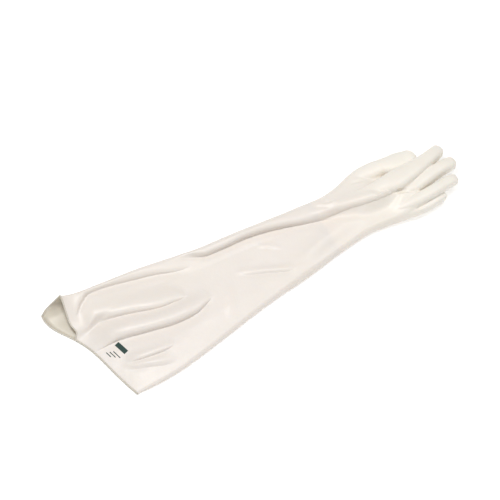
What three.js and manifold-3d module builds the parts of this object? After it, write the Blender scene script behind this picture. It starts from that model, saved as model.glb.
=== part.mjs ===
// Right-hand glovebox glove: a long, tapering gauntlet of thin dipped rubber with a hand at its end.
// It lies on a flat surface with the back of the hand up. The gauntlet has sunk nearly flat, with
// rolled sides and long folds in its upper layer, and its mouth stands open at one corner.
// It is dipped in one piece, so it is one hollow solid, with the bead along its rim.
// Units are millimetres. +X runs from the mouth to the fingers, +Y to the thumb's side, +Z up.
// The origin is under the middle of the glove, on the surface that it lies on.

import * as THREE from 'three';
import Module from 'manifold-3d';

const WALL = 1.0;
const BEAD_RADIUS = 1.6;
const RUBBER_COLOUR = 0xf2ede3;

// Height of a section's sides, where its two layers meet, as a share of the rolled side's height.
const SIDE_HEIGHT = 0.4;
// How quickly the upper layer comes down from a rolled side. 1 is a straight slope.
const SLOPE_CURVE = 1.2;
// Share of a section's width in which its lower layer comes off the surface, from either side.
const UNDER_REACH = 1 / 3;
// How far past the mouth the hollow is cut.
const MOUTH_CUT = 8;

// Fineness of the surfaces. The lower layer is plainer, with one point for every two above it.
const STEPS_A_ROW = 2;
const ROUND_STEPS = 3;
const MIDDLE_STEPS = 26;
const LOWER_SHARE = 2;
const FINGER_SIDES = 12;
const TIP_STEPS = 3;
const TIP_BLUNTNESS = 0.5;
const BEAD_SIDES = 6;

// The rows of a table, each with its numbers named by column.
function tableOf(columns, rows) {
  return rows.map((row) => Object.fromEntries(columns.map((column, i) => [column, row[i]])));
}

// One row for each cross-section of the gauntlet and the palm, from the mouth to the knuckles.
// farX to nearY are the section's two sides in plan. rise is the height of the rolled side, round
// is how far the roll reaches in, and slope is how far it takes to come down to middle, which is
// the height of the upper layer between the rolls. curl is how far in the lower layer starts to
// turn up to the far side, and under is how high it stands off the surface in the middle.
// rake leans the section towards the hand as it gets higher, and sweep bends it into an S in plan.
const SECTIONS = tableOf(
  ['farX', 'farY', 'nearX', 'nearY', 'farRise', 'farRound', 'farSlope', 'curl', 'nearRise',
    'nearRound', 'nearSlope', 'middle', 'under', 'rake', 'sweep'],
  [
    [-424, 119, -349, -119, 45, 8, 80, 30, 7, 6, 30, 5, 0, 0.92, 10],
    [-386, 119, -318, -119, 36, 9, 72, 24, 13, 11, 34, 10, 0, 0.45, 7],
    [-345, 118, -285, -118, 28, 10, 60, 16, 16, 14, 38, 14, 0, 0.1, 4],
    [-300, 116, -247, -115, 24, 11, 46, 12, 18, 16, 40, 15, 0, 0, 1],
    [-245, 112, -203, -108, 22, 11, 40, 11, 19, 17, 40, 15, 0, 0, 0],
    [-180, 103, -147, -97, 22, 11, 38, 11, 20, 18, 40, 16, 0, 0, 0],
    [-110, 92, -86, -85, 23, 11, 36, 11, 21, 18, 38, 16, 0, 0, 0],
    [-40, 87, -22, -74, 25, 12, 36, 12, 22, 18, 36, 17, 0, 0, 0],
    [30, 80, 40, -66, 27, 13, 36, 12, 23, 18, 34, 19, 0, 0, 0],
    [100, 74, 100, -56, 28, 14, 34, 12, 24, 17, 32, 22, 0, 0, 0],
    [155, 70, 155, -47, 29, 15, 32, 13, 26, 15, 30, 26, 0, 0, 0],
    [197, 77, 199, -44, 30, 16, 34, 14, 28, 14, 26, 31, 0.5, 0, 0],
    [225, 86, 230, -47, 30, 15, 38, 14, 30, 14, 24, 35, 1, 0, 0],
    [250, 89, 258, -51, 29, 14, 42, 14, 34, 16, 22, 38, 2.5, 0, 0],
    [271, 77, 282, -53, 27, 13, 36, 13, 38, 17, 20, 39, 5, 0, 0],
    [289, 54, 302, -52, 27, 12, 24, 12, 41, 17, 18, 39, 8, 0, 0],
    [305, 40, 318, -50, 30, 10, 14, 10, 43, 15, 16, 37, 11, 0, 0],
    [319, 35, 331, -46, 27, 8, 12, 8, 41, 12, 14, 31, 16, 0, 0],
  ],
);

// One row for each long fold in the upper layer. path is its crest in plan, height is above the
// layer round it, farWidth and nearWidth are how wide it slopes on either side, trough is the
// depth of the valley at its near foot, lean pushes the crest over that valley, and fade is the
// length over which it rises at each end.
const FOLDS = [
  {
    name: 'cuff fold on the thumb side',
    path: [[-372, 46], [-330, 53], [-280, 45], [-220, 28], [-182, 26]],
    height: 7, farWidth: 16, nearWidth: 6.5, trough: 4, lean: 3, fade: 32,
  },
  {
    name: 'cuff fold in the middle',
    path: [[-378, 12], [-316, 6], [-240, -6], [-180, -14], [-138, -8]],
    height: 9, farWidth: 18, nearWidth: 7, trough: 4, lean: 4, fade: 34,
  },
  {
    name: 'short cuff fold',
    path: [[-338, -42], [-290, -52], [-238, -56]],
    height: 5, farWidth: 13, nearWidth: 8, trough: 2, lean: 1, fade: 30,
  },
  {
    name: 'cuff fold on the near side',
    path: [[-345, -50], [-290, -78], [-232, -98]],
    height: 4, farWidth: 14, nearWidth: 9, trough: 2, lean: 0, fade: 34,
  },
  {
    name: 'cuff roll',
    path: [[-378, 90], [-340, 114], [-264, 112], [-188, 95], [-120, 84]],
    height: 3, farWidth: 14, nearWidth: 8, trough: 5, lean: 2, fade: 40,
  },
  {
    name: 'forearm roll',
    path: [[-150, 92], [-90, 79], [-27, 74], [14, 68], [53, 60], [91, 48], [129, 36], [190, 31]],
    height: 6, farWidth: 26, nearWidth: 7.5, trough: 4, lean: 4, fade: 45,
  },
  {
    name: 'faint crease',
    path: [[-60, 8], [-19, -9], [25, -24]],
    height: 2.5, farWidth: 9, nearWidth: 6, trough: 1, lean: 0, fade: 28,
  },
];

// One row for each place on a finger's axis, from inside the palm to the centre of its round tip,
// with the radius there. The index finger runs back to the wrist and makes the hand's ridge.
const FINGER_COLUMNS = ['x', 'y', 'z', 'radius'];
const FINGERS = {
  thumb: tableOf(FINGER_COLUMNS, [
    [205, 58, 15, 13],
    [240, 73, 16, 14.6],
    [271, 75, 15.8, 14.8],
    [310, 71.5, 15.4, 14.4],
    [342, 69.5, 14.3, 13.2],
    [356, 68, 13, 11.8],
  ]),
  index: tableOf(FINGER_COLUMNS, [
    [125, 37, 13, 13],
    [168, 32, 19, 16],
    [213, 28, 25, 17.5],
    [260, 22, 30.5, 17],
    [307, 24, 33.5, 15.4],
    [345, 28.5, 32, 15.2],
    [385, 35.5, 27.5, 14.6],
    [405, 42, 23, 13.2],
  ]),
  middle: tableOf(FINGER_COLUMNS, [
    [255, -10, 24, 14],
    [300, -8, 27.5, 15],
    [352, -0.5, 27, 15],
    [378, 3.5, 25, 14.8],
    [398, 6.5, 23, 14.2],
    [411, 8, 20.5, 13.2],
  ]),
  ring: tableOf(FINGER_COLUMNS, [
    [255, -30, 22, 13],
    [290, -36, 28, 13.2],
    [320, -36, 33.2, 12.8],
    [350, -34.5, 32, 12.7],
    [385, -29.5, 27, 12],
    [397, -29, 24.5, 11.2],
  ]),
  little: tableOf(FINGER_COLUMNS, [
    [255, -37, 13, 11.5],
    [290, -43, 11, 10.4],
    [320, -45.5, 10, 9.7],
    [345, -43.5, 9.8, 9.5],
    [363, -41, 9.4, 9],
  ]),
};

// The row of a table at s, which counts rows from 0, on a smooth curve through all rows.
function smoothRow(table, s) {
  const i = Math.min(Math.floor(s), table.length - 2);
  const f = s - i;
  const at = (k) => table[Math.max(0, Math.min(table.length - 1, k))];
  const row = {};
  for (const key of Object.keys(table[0])) {
    const [a, b, c, d] = [at(i - 1)[key], at(i)[key], at(i + 1)[key], at(i + 2)[key]];
    const start = (c - a) / 2;
    const end = (d - b) / 2;
    const bend = 3 * (c - b) - 2 * start - end;
    const twist = 2 * (b - c) + start + end;
    row[key] = b + f * (start + f * (bend + f * twist));
  }
  return row;
}

const clamp = (t) => Math.min(1, Math.max(0, t));
const smoothStep = (t) => clamp(t) ** 2 * (3 - 2 * clamp(t));
const bell = (t) => Math.exp(-t * t);

// How far the folds lift the upper layer at a place in plan, and how far they push it sideways.
function foldsAt(x, y) {
  let lift = 0;
  let push = 0;
  for (const fold of FOLDS) {
    const first = fold.path[0][0];
    const last = fold.path[fold.path.length - 1][0];
    if (x <= first || x >= last) continue;
    const k = fold.path.findIndex((p) => p[0] > x) - 1;
    const s = k + (x - fold.path[k][0]) / (fold.path[k + 1][0] - fold.path[k][0]);
    const crest = smoothRow(fold.path.map((p) => ({ y: p[1] })), s).y;
    const strength = smoothStep((x - first) / fold.fade) * smoothStep((last - x) / fold.fade);
    const off = y - crest;
    const ridge = bell(off / (off > 0 ? fold.farWidth : fold.nearWidth));
    const valley = bell((off + 2 * fold.nearWidth) / fold.nearWidth);
    lift += strength * (fold.height * ridge - fold.trough * valley);
    push -= strength * fold.lean * ridge;
  }
  return { lift, push };
}

// The places across a section where its points lie, as shares of its width from the near side.
// They are close together in the rolled sides and even between them.
function placesAcross(width, row) {
  const near = row.nearRound / width;
  const far = row.farRound / width;
  const places = [];
  const rolled = (i) => 1 - Math.cos((i / ROUND_STEPS) * (Math.PI / 2));
  for (let i = 0; i < ROUND_STEPS; i++) places.push(near * rolled(i));
  for (let i = 0; i <= MIDDLE_STEPS; i++) places.push(near + (1 - near - far) * (i / MIDDLE_STEPS));
  for (let i = ROUND_STEPS - 1; i >= 0; i--) places.push(1 - far * rolled(i));
  return places;
}

// How open a rolled side is at a distance in from its edge: 0 at the edge, and 1 past its reach.
function openness(distance, reach) {
  return Math.sqrt(1 - (1 - clamp(distance / reach)) ** 2);
}

// A ring of points round one section: along the upper layer from the near side to the far side,
// and back along the lower layer, which is nearly flat and has every second place only.
function sectionRing(s) {
  const row = smoothRow(SECTIONS, s);
  const width = Math.hypot(row.farX - row.nearX, row.farY - row.nearY);
  const upper = [];
  const lower = [];
  for (const w of placesAcross(width, row)) {
    const fromNear = w * width;
    const fromFar = (1 - w) * width;
    const x = THREE.MathUtils.lerp(row.nearX, row.farX, w) + row.sweep * Math.sin(2 * Math.PI * w * w);
    const y = THREE.MathUtils.lerp(row.nearY, row.farY, w);
    const fold = foldsAt(x, y);
    const nearShare = clamp(1 - (fromNear - row.nearRound) / row.nearSlope) ** SLOPE_CURVE;
    const farShare = clamp(1 - (fromFar - row.farRound) / row.farSlope) ** SLOPE_CURVE;
    const nearLift = (row.nearRise - row.middle) * nearShare;
    const farLift = (row.farRise - row.middle) * farShare;
    const bare = row.middle + nearLift + farLift;
    const side = SIDE_HEIGHT * (w < 0.5 ? row.nearRise : row.farRise);
    const upperOpen = openness(fromNear, row.nearRound) * openness(fromFar, row.farRound);
    const lowerOpen = openness(fromNear, row.nearRound) * openness(fromFar, row.curl);
    const reach = width * UNDER_REACH;
    const between = smoothStep(fromNear / reach) * smoothStep(fromFar / reach);
    const high = side + (bare + fold.lift - side) * upperOpen;
    const low = side * (1 - lowerOpen) + Math.max(0, row.under) * between;
    upper.push(new THREE.Vector3(x + row.rake * high, y + fold.push * upperOpen, high));
    lower.push(new THREE.Vector3(x + row.rake * low, y, low));
  }
  const fewer = lower.filter((_, i) => i % LOWER_SHARE === 0);
  return [...upper, ...fewer.slice(1, -1).reverse()];
}

// The outward normals at the points of a stack of rings.
function normalsOf(rings) {
  return rings.map((ring, k) =>
    ring.map((_, j) => {
      const around = ring[(j + 1) % ring.length].clone().sub(ring.at(j - 1));
      const along = rings[Math.min(k + 1, rings.length - 1)][j].clone().sub(rings[Math.max(k - 1, 0)][j]);
      return along.cross(around).normalize();
    }),
  );
}

// The triangles between two rings whose points start at a and at b.
function band(a, b, size) {
  const faces = [];
  for (let j = 0; j < size; j++) {
    const next = (j + 1) % size;
    faces.push(a + j, b + j, a + next, a + next, b + j, b + next);
  }
  return faces;
}

// A cap on a section, in strips from its upper to its lower layer. turn is 1 on the last ring.
function stripCap(start, size, turn) {
  const faces = [];
  const strips = size / (LOWER_SHARE + 1);
  const add = (a, b, c) => {
    if (a !== c && b !== c) faces.push(start + a, start + (turn ? c : b), start + (turn ? b : c));
  };
  for (let i = 0; i < strips; i++) {
    const above = i * LOWER_SHARE;
    const below = (size - i) % size;
    const next = size - i - 1;
    add(below, above + 1, next);
    for (let j = 0; j < LOWER_SHARE; j++) add(above + j, above + j + 1, j ? next : below);
  }
  return faces;
}

// A cap on a round ring, as a fan. turn is 1 on the last ring.
function fanCap(start, size, turn) {
  const faces = [];
  for (let j = 1; j < size - 1; j++) faces.push(start, start + j + turn, start + j + 1 - turn);
  return faces;
}

// A closed geometry from a stack of rings: with a cap at each end, or joined into a loop.
function stack(rings, cap) {
  const size = rings[0].length;
  const last = (rings.length - 1) * size;
  const faces = cap ? [...cap(0, size, 0), ...cap(last, size, 1)] : band(last, 0, size);
  for (let k = 0; k < rings.length - 1; k++) faces.push(...band(k * size, (k + 1) * size, size));
  const geometry = new THREE.BufferGeometry().setFromPoints(rings.flat());
  geometry.setIndex(faces);
  return geometry;
}

// A circle of points round a centre, in the plane of two directions.
function circle(centre, radius, sides, first, second) {
  return Array.from({ length: sides }, (_, i) => {
    const angle = (i / sides) * 2 * Math.PI;
    return centre
      .clone()
      .addScaledVector(first, radius * Math.cos(angle))
      .addScaledVector(second, radius * Math.sin(angle));
  });
}

const wasm = await Module();
wasm.setup();

function solidOf(geometry) {
  return new wasm.Manifold(
    new wasm.Mesh({
      numProp: 3,
      vertProperties: geometry.attributes.position.array,
      triVerts: Uint32Array.from(geometry.index.array),
    }),
  );
}

function geometryOf(solid) {
  const mesh = solid.getMesh();
  const geometry = new THREE.BufferGeometry();
  geometry.setAttribute('position', new THREE.BufferAttribute(mesh.vertProperties, 3));
  geometry.setIndex(new THREE.BufferAttribute(mesh.triVerts, 1));
  geometry.computeVertexNormals();
  return geometry;
}

// The rings of the gauntlet and the palm, on their outer surface.
function bodyRings() {
  const steps = (SECTIONS.length - 1) * STEPS_A_ROW;
  return Array.from({ length: steps + 1 }, (_, k) => sectionRing(k / STEPS_A_ROW));
}

// The same rings a wall's thickness in. They run out past the mouth, and stop a wall short of the
// knuckles' end, so that cutting them away leaves the mouth open and the hand closed.
function hollowRings(rings, normals) {
  const inner = rings.map((ring, k) => ring.map((p, j) => p.clone().addScaledVector(normals[k][j], -WALL)));
  inner.at(-1).forEach((p) => p.setX(p.x - WALL));
  const outside = inner[0].map((p) => p.clone().setX(p.x - MOUTH_CUT));
  return [outside, ...inner];
}

// One finger's tube, with its radius less by the inset, and closed by a round tip.
function finger(table, inset) {
  const steps = (table.length - 1) * STEPS_A_ROW;
  const rows = Array.from({ length: steps + 1 }, (_, k) => smoothRow(table, k / STEPS_A_ROW));
  const centres = rows.map((row) => new THREE.Vector3(row.x, row.y, row.z));
  const rings = [];
  rows.forEach((row, k) => {
    const ahead = centres[Math.min(k + 1, steps)].clone().sub(centres[Math.max(k - 1, 0)]).normalize();
    const side = new THREE.Vector3(0, 0, 1).cross(ahead).normalize();
    const up = ahead.clone().cross(side);
    const radius = row.radius - inset;
    const last = k === steps ? TIP_STEPS : 0;
    for (let t = 0; t <= last; t++) {
      const angle = (t / (TIP_STEPS + TIP_BLUNTNESS)) * (Math.PI / 2);
      const centre = centres[k].clone().addScaledVector(ahead, radius * Math.sin(angle));
      rings.push(circle(centre, radius * Math.cos(angle), FINGER_SIDES, up, side));
    }
  });
  return stack(rings, fanCap);
}

// The bead along the rim: a thin round tube that rests on the surface with the lower layer.
function bead(rings, normals) {
  const rim = rings[0];
  const circles = rim.map((p, j) => {
    const centre = p.clone().addScaledVector(normals[0][j], -WALL / 2);
    centre.z = Math.max(centre.z, BEAD_RADIUS);
    const ahead = rim[(j + 1) % rim.length].clone().sub(rim.at(j - 1)).normalize();
    const side = normals[0][j].clone().cross(ahead);
    return circle(centre, BEAD_RADIUS, BEAD_SIDES, normals[0][j], side);
  });
  return stack(circles, null);
}

function buildGlove() {
  const rings = bodyRings();
  const normals = normalsOf(rings);
  let outer = solidOf(stack(rings, stripCap)).add(solidOf(bead(rings, normals)));
  let hollow = solidOf(stack(hollowRings(rings, normals), stripCap));
  for (const table of Object.values(FINGERS)) {
    outer = outer.add(solidOf(finger(table, 0)));
    hollow = hollow.add(solidOf(finger(table, WALL)));
  }
  const rubber = new THREE.MeshStandardMaterial({ color: RUBBER_COLOUR, roughness: 0.5, metalness: 0 });
  const glove = new THREE.Mesh(geometryOf(outer.subtract(hollow)), rubber);
  glove.name = 'glove';
  return glove;
}

const group = new THREE.Group();
group.name = 'glovebox_glove';
group.add(buildGlove());

export default group;
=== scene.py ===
"""Right-hand glovebox glove, lying on a table with the back of the hand up.

Laid out as an add-on: one operator makes each piece, and one makes the stage. The tables of
sections, folds and fingers are in millimetres, as in the CAD part. Everything else is in metres.
+X runs from the mouth of the cuff to the fingertips, +Y to the thumb's side, and +Z is up.
"""

import math
from contextlib import contextmanager

import bmesh
import bpy
import numpy as np
from bpy.props import FloatProperty, FloatVectorProperty, IntProperty, PointerProperty
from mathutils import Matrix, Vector, noise
from mathutils.bvhtree import BVHTree


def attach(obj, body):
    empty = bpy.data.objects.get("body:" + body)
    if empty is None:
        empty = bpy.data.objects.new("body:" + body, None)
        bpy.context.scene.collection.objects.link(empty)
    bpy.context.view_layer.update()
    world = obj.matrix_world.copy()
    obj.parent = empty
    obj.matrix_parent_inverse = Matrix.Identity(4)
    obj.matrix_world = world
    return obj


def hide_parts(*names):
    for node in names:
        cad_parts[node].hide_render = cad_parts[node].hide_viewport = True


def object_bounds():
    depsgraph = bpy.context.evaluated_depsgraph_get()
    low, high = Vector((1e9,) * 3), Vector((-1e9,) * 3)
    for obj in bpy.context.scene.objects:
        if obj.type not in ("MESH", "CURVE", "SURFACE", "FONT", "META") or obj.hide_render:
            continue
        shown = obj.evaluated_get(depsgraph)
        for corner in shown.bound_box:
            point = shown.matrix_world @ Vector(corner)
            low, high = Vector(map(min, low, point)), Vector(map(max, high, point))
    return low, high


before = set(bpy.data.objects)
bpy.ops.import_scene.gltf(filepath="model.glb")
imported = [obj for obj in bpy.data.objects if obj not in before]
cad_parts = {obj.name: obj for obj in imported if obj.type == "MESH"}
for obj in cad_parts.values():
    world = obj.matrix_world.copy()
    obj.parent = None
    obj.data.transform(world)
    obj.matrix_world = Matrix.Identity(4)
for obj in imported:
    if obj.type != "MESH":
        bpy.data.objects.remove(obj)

bl_info = {
    "name": "Glovebox glove",
    "version": (1, 0, 0),
    "blender": (4, 5, 0),
    "location": "View3D > Sidebar > Glove",
    "description": "Makes a long rubber glovebox glove with a folded cuff",
    "category": "Add Mesh",
}

MM = 0.001
CAD_BOX = [list(corner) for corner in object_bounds()]
TABLE_TOP = CAD_BOX[0][2]
CENTRE = [(low + high) / 2 for low, high in zip(*CAD_BOX)]

# Cross-sections of the gauntlet and the palm, from the mouth to the knuckles. far and near are the
# section's two sides in plan. rise is the height of a rolled side, round is how far the roll
# reaches in, and slope how far it takes to come down to middle, the height between the rolls.
# curl is how far in the lower layer turns up to the far side, and under how high its middle is.
# rake is how far the section leans towards the hand at the top, and sweep bends it into an S in
# plan.
SECTION_COLUMNS = (
    "far_x", "far_y", "near_x", "near_y", "far_rise", "far_round", "far_slope", "curl",
    "near_rise", "near_round", "near_slope", "middle", "under", "rake", "sweep",
)
SECTIONS = (
    (-425, 121, -345, -116.5, 43, 8, 80, 24, 5, 6, 30, 4.2, 0, 44, 8),
    (-386, 120, -316, -118, 36, 9, 72, 22, 8.5, 8, 34, 10, 0, 18, 6),
    (-345, 118, -285, -118, 28, 10, 60, 16, 10, 8, 38, 14, 0, 4, 4),
    (-300, 116, -247, -115, 24, 11, 46, 12, 11, 8, 40, 15, 0, 0, 1),
    (-245, 112, -203, -108, 22, 11, 40, 11, 12, 8.5, 40, 15, 0, 0, 0),
    (-180, 103, -147, -97, 22, 11, 38, 11, 13, 9, 40, 16, 0, 0, 0),
    (-110, 92, -86, -85, 23, 11, 36, 11, 14, 9, 38, 16, 0, 0, 0),
    (-40, 87, -22, -74, 25, 12, 34, 12, 15, 10, 36, 17, 0, 0, 0),
    (30, 80, 40, -66, 27, 13, 34, 12, 16, 11, 34, 19, 0, 0, 0),
    (100, 74, 100, -56, 28, 14, 34, 12, 16.5, 10, 32, 22, 0, 0, 0),
    (155, 70, 155, -47, 29, 15, 32, 13, 18.5, 10, 32, 26, 0, 0, 0),
    (197, 77, 199, -43, 30, 16, 34, 14, 21, 10.5, 34, 29.5, 0.5, 0, 0),
    (225, 86, 230, -45.5, 30, 15, 38, 14, 23, 11, 36, 32.5, 1, 0, 0),
    (250, 89, 258, -49.5, 29, 14, 42, 14, 25, 11, 36, 35, 2.5, 0, 0),
    (271, 77, 282, -53, 27, 13, 36, 13, 29.5, 13, 34, 38, 5, 0, 0),
    (289, 54, 302, -53, 27, 12, 24, 12, 32, 14.5, 30, 39, 8, 0, 0),
    (305, 40, 318, -51, 30, 10, 14, 10, 33, 15, 25, 37.5, 11, 0, 0),
    (319, 35, 331, -46.5, 27, 8, 12, 8, 31, 13.5, 18, 31, 15, 0, 0),
)

# Where on a rolled side its two layers meet, as a share of its rise.
SIDE_HEIGHT = 0.4
NEAR_SIDE_HEIGHT = 0.32

# A near roll is round up to the first of these rises. From the second on it has the share of slope.
NEAR_SLOPING = (18, 34)
NEAR_SLOPING_SHARE = 0.3

# The power with which the far side comes down to the middle: 1 is straight, and more is hollow.
SLOPE_CURVE = 1.2

# How far in from each side, as a share of the width, the lower layer reaches its height under.
UNDER_REACH = 1 / 3

# The height at which a section's rake sets in, and how far above it the rake is complete.
RAKE_START = 5
RAKE_REACH = 40

# How many points of the upper layer there are for one of the lower.
LOWER_SHARE = 4

# Where the back of the hand ends over the foot of the middle finger, how far it drops there, and
# how wide the drop is. The drop grows from its start along X.
HAND_EDGE = ((262, 6), (272, 0), (280, -4), (293, -12), (307, -18), (324, -20), (345, -19))
HAND_EDGE_DROP = 14
HAND_EDGE_WIDTH = 3
HAND_DROP_START = 232
HAND_DROP_LENGTH = 46

# The power with which the near side of a crisp fold falls, and how wide a soft fold and its trough
# are as shares of near.
CREST_CURVE = 2.1
SOFT_FOLD_WIDTH = 0.6
SOFT_TROUGH_WIDTH = 0.5

# Over the hand, the troughs grow wider by this many times near.
HAND_TROUGH_START = 140
HAND_TROUGH_LENGTH = 70
HAND_TROUGH_SPREAD = 1.3

# How much denser the columns of faces are at the foot of a fold that has at least the full height.
# The foot's place and width are shares of near.
FOOT_DENSITY = 2.6
FOOT_FULL_HEIGHT = 4
FOOT_PLACE = 0.85
FOOT_WIDTH = 0.55

# Folds in the upper layer, by places along the crest of each. The columns are x, y, height, far,
# near, trough, lean and crisp. height is above the layer round the fold, far and near are how wide
# it slopes on either side, trough is the depth of the valley at its near foot, and lean pushes the
# crest over that valley. crisp 1 is a near side like a quarter of a round bar, with a sharp foot,
# and crisp 0 is a soft one.
FOLDS = {
    "cuff fold on the thumb side": (
        (-400, 47, 4, 14, 11, 0, 0, 0.2),
        (-386, 47, 3, 14, 11, 0, 0, 0.2),
        (-374, 49.5, 3.2, 14, 11, 0.8, 0, 0.05),
        (-361, 53.5, 5.8, 18, 12, 2.4, 0.8, 0.12),
        (-343, 58.5, 7.8, 22, 13, 3.2, 1.4, 0.15),
        (-328, 58, 8, 24, 15, 3, 1.5, 0.6),
        (-313, 55.5, 8, 25, 16, 3, 1.6, 1),
        (-278, 46, 7.8, 25, 16, 3, 1.6, 1),
        (-232, 31, 7.2, 24, 15.5, 2.6, 1.4, 1),
        (-201, 24.5, 6, 20, 13.5, 2, 1, 1),
        (-186, 20.5, 4, 16, 11, 1.2, 0.5, 1),
        (-170, 17, 0, 12, 8, 0, 0, 1),
    ),
    "cuff fold in the middle": (
        (-378, 8, 0, 14, 10, 0, 0, 1),
        (-360, 9.5, 4, 18, 13, 1.2, 0.6, 1),
        (-344, 11, 7.4, 21, 15.5, 2.6, 1.4, 1),
        (-320, 9, 9.2, 24, 16.5, 3.2, 2, 1),
        (-278, -0.5, 9.6, 25, 16.5, 3.4, 2.2, 1),
        (-253, -6, 9.6, 25, 16.5, 3.4, 2.2, 1),
        (-220, -12.5, 9.4, 24, 16.5, 3.4, 2.2, 1),
        (-193, -15.5, 9, 22, 15.5, 3.2, 2, 1),
        (-175, -16, 8, 19, 14.5, 2.6, 1.6, 1),
        (-156, -14, 6, 16, 12, 1.8, 1, 1),
        (-143, -11.5, 3, 13, 9, 0.9, 0.5, 1),
        (-131, -8.5, 0, 10, 7.5, 0, 0, 1),
    ),
    "short cuff fold": (
        (-340, -49, 0, 9, 6, 0, 0, 1),
        (-320, -53, 3, 10, 7, 1.2, 0.4, 1),
        (-296, -57.5, 4.2, 10, 7.5, 1.6, 0.7, 1),
        (-270, -61, 4, 10, 7.5, 1.6, 0.7, 1),
        (-252, -62, 2.4, 9, 7, 0.8, 0.3, 1),
        (-238, -61, 0, 8, 6, 0, 0, 1),
    ),
    "cuff fold on the near side": (
        (-350, -54, 0, 9, 7, 0, 0, 0.6),
        (-330, -65, 2, 10, 8, 0.8, 0, 0.6),
        (-304, -74, 3, 11, 9, 1, 0, 0.6),
        (-276, -84, 2.4, 11, 9, 0.6, 0, 0.6),
        (-250, -90, 0, 10, 8, 0, 0, 0.6),
    ),
    "cuff roll": (
        (-388, 82, 0, 10, 8, 0, 0, 1),
        (-378, 87, 1.4, 10, 9, 1.6, 0, 1),
        (-366, 95.5, 2.4, 10, 9, 3, 0.4, 1),
        (-356, 101, 3, 10, 8.5, 3.4, 0.6, 1),
        (-337, 110, 3, 9, 8, 3.8, 0.8, 1),
        (-310, 111, 3, 9, 9, 3.8, 0.8, 1),
        (-290, 109.5, 3, 10, 10, 3.8, 0.8, 1),
        (-261, 104.5, 3, 11, 11, 3.8, 0.8, 1),
        (-217, 95, 3, 12, 11, 3.6, 0.8, 1),
        (-197, 89, 2.6, 13, 11, 3.2, 0.6, 1),
        (-178, 81.5, 2, 14, 11, 2.6, 0.4, 1),
        (-155, 74, 1, 14, 10, 1.4, 0, 1),
        (-135, 72, 0, 14, 10, 0, 0, 1),
    ),
    "forearm roll, wrist and ridge of the hand": (
        (-158, 95, 0, 12, 9, 0, 0, 0),
        (-144, 93, 1.2, 12, 9, 0.8, 0, 0.1),
        (-130, 88.5, 2.6, 14, 9.5, 2, 0.4, 0.3),
        (-116, 81.5, 4, 15, 9, 3, 1.2, 0.6),
        (-100, 75.5, 5.2, 15, 8.5, 4, 2.4, 0.9),
        (-60, 72.5, 6, 15, 8.5, 4.4, 3.4, 1),
        (-18, 71, 6.6, 16, 9, 4.6, 3.8, 1),
        (23, 65, 7, 18, 10, 4.4, 3.8, 1),
        (61, 55.5, 7.2, 20, 10.5, 4, 3.4, 1),
        (98, 45, 7.6, 24, 12, 3.8, 3, 1),
        (130, 37.5, 8.2, 26, 14.5, 4, 2, 0.6),
        (156, 33, 9, 26, 19, 4, 0.4, 0),
        (178, 28, 9.8, 26, 24, 4.5, 0, 0),
        (219, 16.5, 11, 26, 27, 5.5, 0, 0),
        (250, 11.5, 11, 23, 26, 6, 0, 0),
        (270, 11.5, 8.4, 21, 23, 5, 0, 0.1),
        (292, 12, 3, 19, 16, 2, 0, 0.3),
        (318, 14, 0, 18, 12, 0, 0, 0.4),
    ),
    "line along the ridge of the hand": (
        (112, 34.5, 0, 14, 6, 0, 0, 1),
        (136, 29.5, 3, 14, 7, 1.2, 0.6, 1),
        (156, 27, 4.2, 15, 7.5, 2, 1, 1),
        (178, 23, 4.4, 15, 7.5, 2.2, 1.2, 1),
        (219, 12.5, 4.4, 15, 7.5, 2.2, 1.2, 1),
        (250, 6.5, 4, 14, 7, 2, 1.2, 1),
        (270, 5.6, 3.2, 13, 7, 1.6, 0.8, 1),
        (290, 6, 1.4, 12, 7, 0.8, 0.4, 1),
        (306, 7, 0, 12, 7, 0, 0, 1),
    ),
    "near ridge by the wrist": (
        (-40, -58, 0, 16, 20, 0, 0, 0),
        (10, -56, 1.4, 18, 22, 0, 0, 0),
        (52, -44, 3.4, 18, 28, 0, 0, 0),
        (89, -27, 4, 17, 32, 0, 0, 0),
        (114, -16, 3.2, 16, 32, 0, 0, 0),
        (150, -9, 0, 16, 30, 0, 0, 0),
    ),
    "faint crease": (
        (-72, 5, 0, 8, 6, 0, 0, 0.7),
        (-56, 1.5, 1.2, 8, 7, 0.4, 0, 0.7),
        (-39, -7, 2.2, 8, 7, 0.7, 0, 0.7),
        (-22, -14, 2.4, 8, 7, 0.7, 0, 0.7),
        (-1, -24, 2.4, 8, 7, 0.7, 0, 0.7),
        (19, -33, 2, 8, 7, 0.5, 0, 0.7),
        (36, -36, 0, 8, 6, 0, 0, 0.7),
    ),
    "second faint crease": (
        (-8, 36, 0, 8, 6, 0, 0, 0.5),
        (4, 31, 1.1, 8, 6, 0.3, 0, 0.5),
        (18, 22, 1.2, 8, 6, 0.3, 0, 0.5),
        (36, 10, 0, 8, 6, 0, 0, 0.5),
    ),
}

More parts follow.
